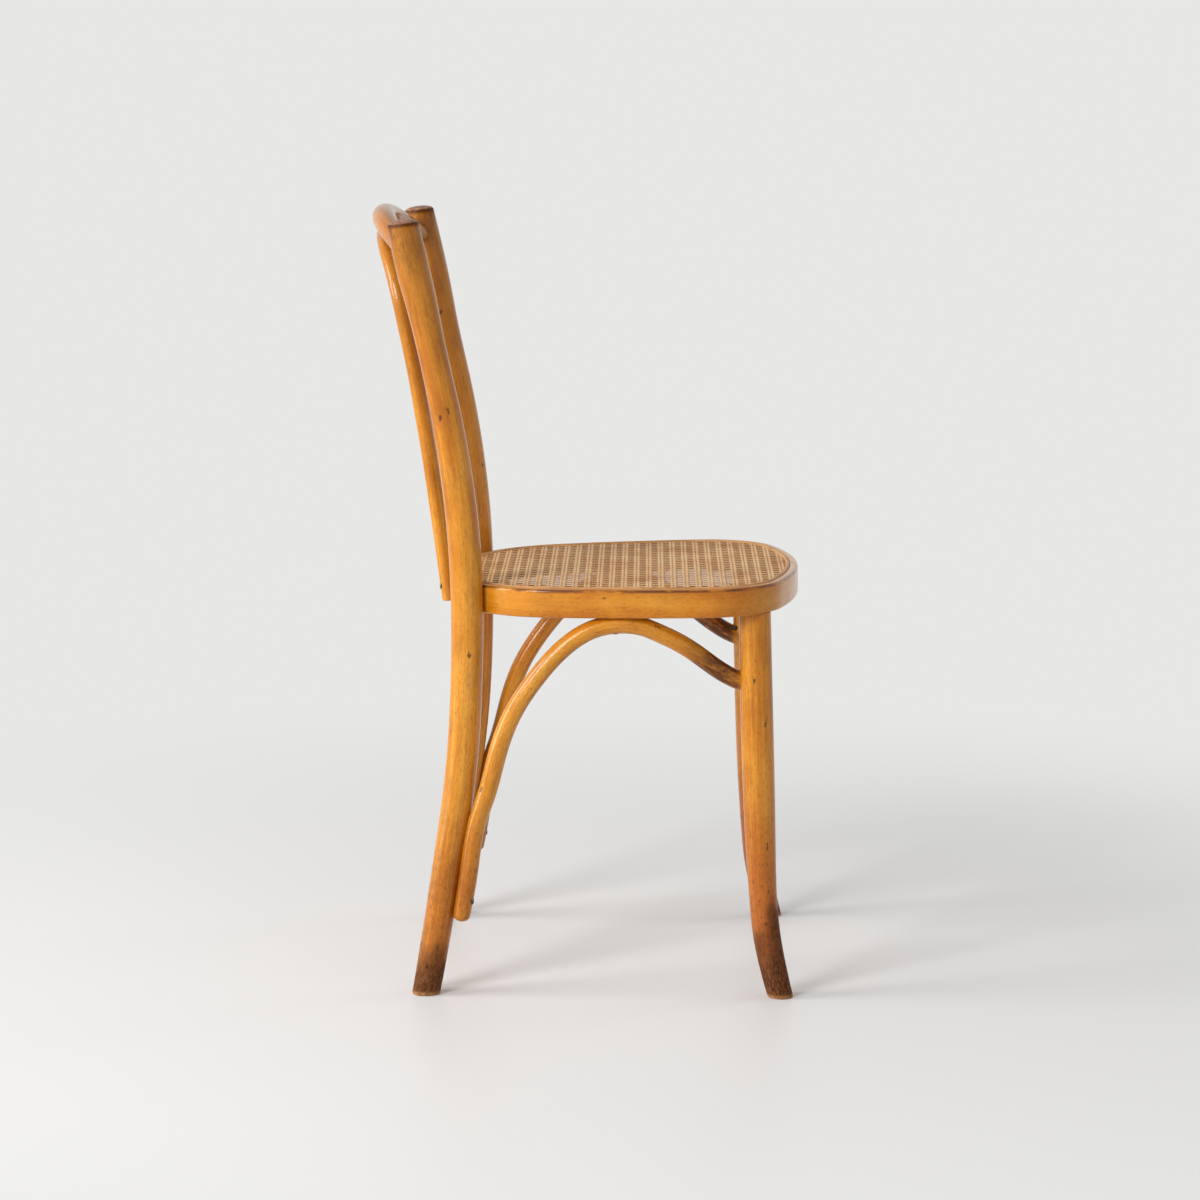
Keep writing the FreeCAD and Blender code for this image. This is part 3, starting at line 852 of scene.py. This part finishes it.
# Crest rail
crest_end = post_line.point_at_height(post_top - crest_drop)
crest_points, crest_radii = [], []
for share in (-1.0, -0.8, -0.55, -0.3, 0.0, 0.3, 0.55, 0.8, 1.0):
    fall = 1 - share * share
    crest_points.append(Vector((share * crest_end.x, crest_end.y + crest_bow * fall,
                                crest_end.z + crest_rise * fall)))
    crest_radii.append(crest_end_radius + (crest_radius - crest_end_radius) * fall)
crest_line = Centreline(crest_points, crest_radii)
crest_middle = crest_points[len(crest_points) // 2]


def make_crest():
    bm = swept(crest_line, upward)
    piece = finished("crest_rail_rod", bm, rod_finish, ["crest_rail"])
    rod_grain(piece.data, crest_line, upward, grain_starts["crest_rail"])


# Inner bow: up from the ring on both sides, and round below the crest rail
bow_base = (seated(outline_point(bow_foot_turn, 0) + upward * (bow_foot_lift - ring_height))
            + normal_at(bow_foot_turn) * (bow_radius - bow_ring_seat))
bow_apex = crest_middle - upward * (crest_radius + bow_radius - bow_crest_seat)
bow_height = bow_apex.z - bow_base.z


def bow_point(across, height):
    """A point of the bow, set back as the bow's rows say for its height."""
    shares, setbacks = zip(*bow_rows)
    setback = float(numpy.interp((height - bow_base.z) / bow_height, shares, setbacks))
    return Vector((across, bow_base.y + (bow_apex.y - bow_base.y) * setback, height))


bow_side = []
for step in range(bow_leg_steps):
    turn = step / bow_leg_steps
    across = bow_base.x + (bow_spread - bow_base.x) * math.sin(math.radians(90 * turn))
    bow_side.append(bow_point(across, bow_base.z + turn * (bow_height - bow_arch_height)))
for step in range(bow_arch_steps):
    angle = math.radians(90 * step / bow_arch_steps)
    rise = bow_apex.z - bow_arch_height * (1 - math.sin(angle))
    bow_side.append(bow_point(bow_spread * math.cos(angle), rise))
other_side = [Vector((-point.x, point.y, point.z)) for point in reversed(bow_side)]
bow_points = bow_side + [bow_apex] + other_side
bow_line = Centreline(bow_points, [bow_radius] * len(bow_points))


def make_bow():
    bm = swept(bow_line, rearward, sides=bow_sides)
    softened(bm, -bow_line.at(0)[1], bow_end_round)
    softened(bm, bow_line.at(bow_line.length)[1], bow_end_round)
    piece = finished("inner_bow_rod", bm, rod_finish, ["inner_bow"])
    rod_grain(piece.data, bow_line, rearward, grain_starts["inner_bow"])


# Front legs
leg_top = seated(outline_point(leg_turn, ring_wall / 2) - upward * ring_height)
leg_points, leg_radii = [], []
for share, outward, forward, radius in leg_rows:
    leg_points.append(Vector((leg_top.x + outward, leg_top.y - forward, share * leg_top.z)))
    leg_radii.append(radius)
leg_line = Centreline(leg_points, leg_radii)


def leg_rod():
    bm = swept(leg_line, sideways, first_cut=-upward, last_cut=seat_up)
    softened(bm, -upward, foot_round)
    return bm


# Side braces: up along the post, over to the ring and down to the front leg
post_direction = Vector((math.sin(brace_post_angle), -math.cos(brace_post_angle), 0))
leg_direction = Vector((-math.sin(brace_leg_angle), math.cos(brace_leg_angle), 0))


def beside_post(height):
    point, _, radius = post_line.at(post_line.length_at_height(height))
    return point + post_direction * (radius + brace_radius - brace_post_flat)


def share_point(start, end, run, rise):
    flat = start.lerp(end, run)
    return Vector((flat.x, flat.y, start.z + (end.z - start.z) * rise))


brace_apex = (seated(outline_point(brace_apex_turn, ring_wall / 2) - upward * ring_height)
              - upward * (brace_radius - brace_ring_flat))
brace_leave = beside_post(brace_leave_height)
brace_end = leg_line.point_at_height(brace_leg_height) + leg_direction * brace_leg_reach
brace_foot_run = brace_leave_height - brace_foot_height
brace_points = [beside_post(brace_foot_height + brace_foot_run * share) for share in (0, 0.5, 1)]
brace_points += [share_point(brace_leave, brace_apex, run, rise) for run, rise in brace_rear_rows]
brace_points.append(brace_apex)
brace_points += [share_point(brace_apex, brace_end, run, drop) for run, drop in brace_front_rows]
brace_points.append(brace_end)
brace_line = Centreline(brace_points, [brace_end_radius] + [brace_radius] * (len(brace_points) - 1))


def brace_rod():
    """The brace, planed flat against the post and against the underside of the ring."""
    bm = swept(brace_line, sideways, round_start=True)
    inset = post_direction * (brace_radius - brace_post_flat)
    foot = beside_post(brace_foot_height) - inset
    head = brace_leave - inset
    planed(bm, foot, (head - foot).cross(upward.cross(post_direction)).normalized())
    planed(bm, seated(-upward * ring_height), seat_up)
    return bm


# Seat ring and the reed in its groove
def seat_stations():
    """Places round the seat outline: the point, the outward normal and the length so far."""
    right = []
    for index, steps in enumerate(arc_steps):
        for step in range(steps):
            right.append(turns[index] + (turns[index + 1] - turns[index]) * step / steps)
    path = [(turn, 1) for turn in right] + [(math.pi, 1)]
    path += [(turn, -1) for turn in reversed(right[1:])]
    stations = []
    length = 0.0
    last = outline_point(0, 0)
    for turn, side in path:
        point = outline_point(turn, 0, side)
        length += (point - last).length
        last = point
        stations.append((point, Vector((side * math.sin(turn), math.cos(turn), 0)), length))
    return stations


seat_path = seat_stations()


def quarter(inset, height, size, start):
    """Points of a quarter round about a centre, from an angle on."""
    points = []
    for step in range(5):
        angle = math.radians(start + 90 * step / 4)
        points.append((inset + size * math.cos(angle), height + size * math.sin(angle)))
    return points


def swept_round_seat(profile):
    """Sweeps a closed profile of (inset, height) points round the seat outline."""
    bm = bmesh.new()
    frames = []
    for point, normal, _ in seat_path:
        turn = Matrix((-normal, upward, upward.cross(normal))).transposed().to_4x4()
        frames.append(Matrix.Translation(point) @ turn)
    verts = [bm.verts.new((inset, height, 0)) for inset, height in profile]
    edges = [bm.edges.new((verts[index - 1], verts[index])) for index in range(len(verts))]
    bmesh.ops.transform(bm, matrix=frames[0], verts=verts)
    previous = frames[0]
    for place in frames[1:] + [frames[0]]:
        edges = moved_ring(bm, edges, place @ previous.inverted())
        previous = place
    bmesh.ops.remove_doubles(bm, verts=bm.verts[:], dist=weld)
    bmesh.ops.transform(bm, matrix=seat_place, verts=bm.verts[:])
    bmesh.ops.recalc_face_normals(bm, faces=bm.faces[:])
    return bm


def seat_grain(mesh, inset, height):
    """Grain of a piece that runs round the seat."""
    places, frames, lengths = [], [], []
    turn = seat_place.to_3x3()
    for point, normal, length in seat_path:
        places.append(seated(point - normal * inset + upward * height))
        frames.append((turn @ normal, turn @ upward, turn @ normal.cross(upward)))
        lengths.append(length)
    lay_grain(mesh, places, frames, lengths)


def make_ring():
    groove_end = groove_inset + groove_width
    inner_centre = ring_wall - ring_inner_round
    profile = quarter(ring_round, -ring_round, ring_round, 90)
    profile += quarter(ring_round, ring_round - ring_height, ring_round, 180)
    profile += quarter(inner_centre, ring_inner_round - ring_height, ring_inner_round, 270)
    profile += [
        (ring_wall, -ledge_depth - ledge_edge), (ring_wall - ledge_edge, -ledge_depth),
        (groove_end, -ledge_depth), (groove_end, -groove_depth), (groove_inset, -groove_depth),
        (groove_inset, -groove_edge), (groove_inset - groove_edge, 0.0),
    ]
    bm = swept_round_seat(profile)
    piece = finished("seat_ring_rail", bm, rail_finish, ["seat_ring"], seat_crease)
    seat_grain(piece.data, ring_wall / 2, -ring_height / 2)


def make_reed():
    inner = groove_inset + groove_width - reed_gap * 2
    outer = groove_inset + reed_gap
    middle = (inner + outer) / 2
    half = (inner - outer) / 2
    profile = [(outer, -groove_depth + reed_gap), (outer, -reed_shoulder)]
    for step in range(1, reed_steps):
        angle = math.pi - math.pi * step / reed_steps
        crown = (reed_crown + reed_shoulder) * math.sin(angle)
        profile.append((middle + half * math.cos(angle), crown - reed_shoulder))
    profile += [(inner, -reed_shoulder), (inner, -groove_depth + reed_gap)]
    bm = swept_round_seat(profile)
    piece = finished("reed_round_cane", bm, reed_finish, ["cane_spline"], seat_crease)
    seat_grain(piece.data, middle, 0.0)


# Woven cane: pairs of strands both ways, and single strands along both slants
cane_middle = Vector((0, seat_middle, 0))
cane_edge = [point - normal * cane_edge_inset for point, normal, _ in seat_path]


def left_of(direction):
    return Vector((-direction.y, direction.x, 0))


def cane_limits(origin, direction):
    """Where a line across the level seat enters and leaves the cane's outline."""
    hits = []
    side = left_of(direction)
    for low, high in zip(cane_edge, cane_edge[1:] + cane_edge[:1]):
        before = (low - origin).dot(side)
        after = (high - origin).dot(side)
        if (before < 0) != (after < 0):
            crossing = low.lerp(high, before / (before - after))
            hits.append((crossing - origin).dot(direction))
    return (min(hits), max(hits)) if hits else (0, 0)


def strand(bm, origin, direction, width, height_at):
    """A flat strip from edge to edge, crowned across, whose height follows the weave."""
    start, end = cane_limits(origin, direction)
    if end - start < strand_shortest:
        return
    side = left_of(direction)
    turn = Matrix((direction, side, upward)).transposed().to_4x4()
    size = Matrix.Diagonal((end - start, width, 1, 1))
    middle = Matrix.Translation(origin + direction * (start + end) / 2)
    count = max(int((end - start) / (cane_pitch / strand_steps)), 2)
    grid = bmesh.ops.create_grid(bm, x_segments=count, y_segments=2, size=0.5,
                                 matrix=middle @ turn @ size)
    for vert in grid["verts"]:
        offset = vert.co - origin
        across = 2 * offset.dot(side) / width
        vert.co.z = height_at(offset.dot(direction)) + strand_crown * (1 - across * across)


def paired_strands(direction, sense):
    """Strands in pairs. The two of a pair rise and fall by turns."""
    bm = bmesh.new()
    side = left_of(direction)
    for row in range(-cane_rows, cane_rows + 1):
        for twin in (-1, 1):
            origin = cane_middle + side * (row * cane_pitch + twin * pair_gap / 2)
            strand(bm, origin, direction, strand_width, lambda along: (
                cane_level + twin * sense * pair_wave * math.sin(2 * math.pi * along / cane_pitch)
                + sense * pair_lift))
    return bm


def slanted_strands(direction, lift):
    """Single strands that weave through the crossings of the pairs."""
    bm = bmesh.new()
    side = left_of(direction)
    pitch = cane_pitch / math.sqrt(2)
    for row in range(-2 * cane_rows, 2 * cane_rows + 1):
        origin = cane_middle + side * ((row + 0.5) * pitch)
        strand(bm, origin, direction, slant_width, lambda along: (
            cane_level + lift + slant_wave * math.sin(2 * math.pi * (along - pitch / 4) / pitch)))
    return bm


def make_cane():
    sets = {
        "across": paired_strands(sideways, 1),
        "lengthwise": paired_strands(-rearward, -1),
        "slant_right": slanted_strands(Vector((1, 1, 0)).normalized(), slant_lift),
        "slant_left": slanted_strands(Vector((1, -1, 0)).normalized(), 0),
    }
    for name, bm in sets.items():
        bmesh.ops.solidify(bm, geom=bm.faces[:], thickness=strand_thick)
        bmesh.ops.transform(bm, matrix=seat_place, verts=bm.verts[:])
        bmesh.ops.recalc_face_normals(bm, faces=bm.faces[:])
        # The strands' sides get painted shade, and their tops a little of the same dark
        top_dirt = 0.08 if name == "across" else 0.04
        dirt_and_shade = bm.faces.layers.float.new("strand_dirt")
        for face in bm.faces:
            face[dirt_and_shade] = top_dirt if abs(face.normal.z) > strand_top_slope else 1.0
        finished("cane_" + name, bm, cane_finish, ["cane_panel"], cane_crease)


# Stage, lights and camera
room_tone = paint(231, 231, 230)


def make_stage():
    """A wide round floor, which ends far outside every view."""
    bm = bmesh.new()
    bmesh.ops.create_circle(bm, cap_ends=True, radius=floor_radius, segments=64)
    mesh = bpy.data.meshes.new("stage")
    bm.to_mesh(mesh)
    bm.free()
    stage = bpy.data.objects.new("stage", mesh)
    bpy.context.scene.collection.objects.link(stage)
    mesh.materials.append(pale_floor())


def make_lamp(name, place, width, height, power, tint, mirrored=True):
    """A soft lamp, turned to the chair, that does or doesn't show as a reflection."""
    light = bpy.data.lights.new(name, "AREA")
    light.shape = "RECTANGLE"
    light.size = width
    light.size_y = height
    light.energy = power
    light.color = tint
    lamp = bpy.data.objects.new(name, light)
    lamp.location = place
    lamp.rotation_euler = (lamp_aim - Vector(place)).to_track_quat("-Z", "Y").to_euler()
    lamp.visible_glossy = mirrored
    bpy.context.scene.collection.objects.link(lamp)


def make_camera():
    """The photograph's viewpoint: from the chair's left, a little above the seat."""
    level = math.cos(camera_pitch)
    looking = Vector((level * math.cos(camera_yaw), level * math.sin(camera_yaw),
                      -math.sin(camera_pitch)))
    data = bpy.data.cameras.new("camera")
    data.sensor_width = sensor_width
    data.lens = sensor_width * camera_focal / photo_width
    data.clip_end = 50
    camera = bpy.data.objects.new("camera", data)
    camera.location = camera_place
    camera.rotation_euler = looking.to_track_quat("-Z", "Y").to_euler()
    bpy.context.scene.collection.objects.link(camera)
    bpy.context.scene.camera = camera


rod_finish = lacquered_beech("beech_rods")
rail_finish = lacquered_beech("beech_rail", rail=True)
cane_finish = woven_cane()
reed_finish = pressed_reed()
steel_finish = aged_steel()

make_pair("rear_post", post_rod, post_line, grain_starts["rear_post"])
make_crest()
make_bow()
make_pair("front_leg", leg_rod, leg_line, grain_starts["front_leg"])
make_pair("side_brace", brace_rod, brace_line, grain_starts["side_brace"])
make_ring()
make_reed()
make_cane()
for name in ("brace_screws", "bow_screws", "coach_bolts", "coach_washers"):
    for slot in frame["nodes"][name].material_slots:
        slot.material = steel_finish

make_stage()
make_lamp("window", (-0.8, 5.0, 1.9), 2.4, 2.8, 190, (1.0, 0.99, 0.97))
make_lamp("front_left", (-4.1, 3.3, 2.5), 2.0, 2.0, 196, (1.0, 0.99, 0.98))
make_lamp("far_window", (1.4, -3.8, 1.4), 1.6, 2.4, 24, (0.98, 0.99, 1.0), mirrored=False)
make_camera()

bpy.context.scene.world = pale_room()
bpy.context.scene.view_settings.view_transform = "Standard"
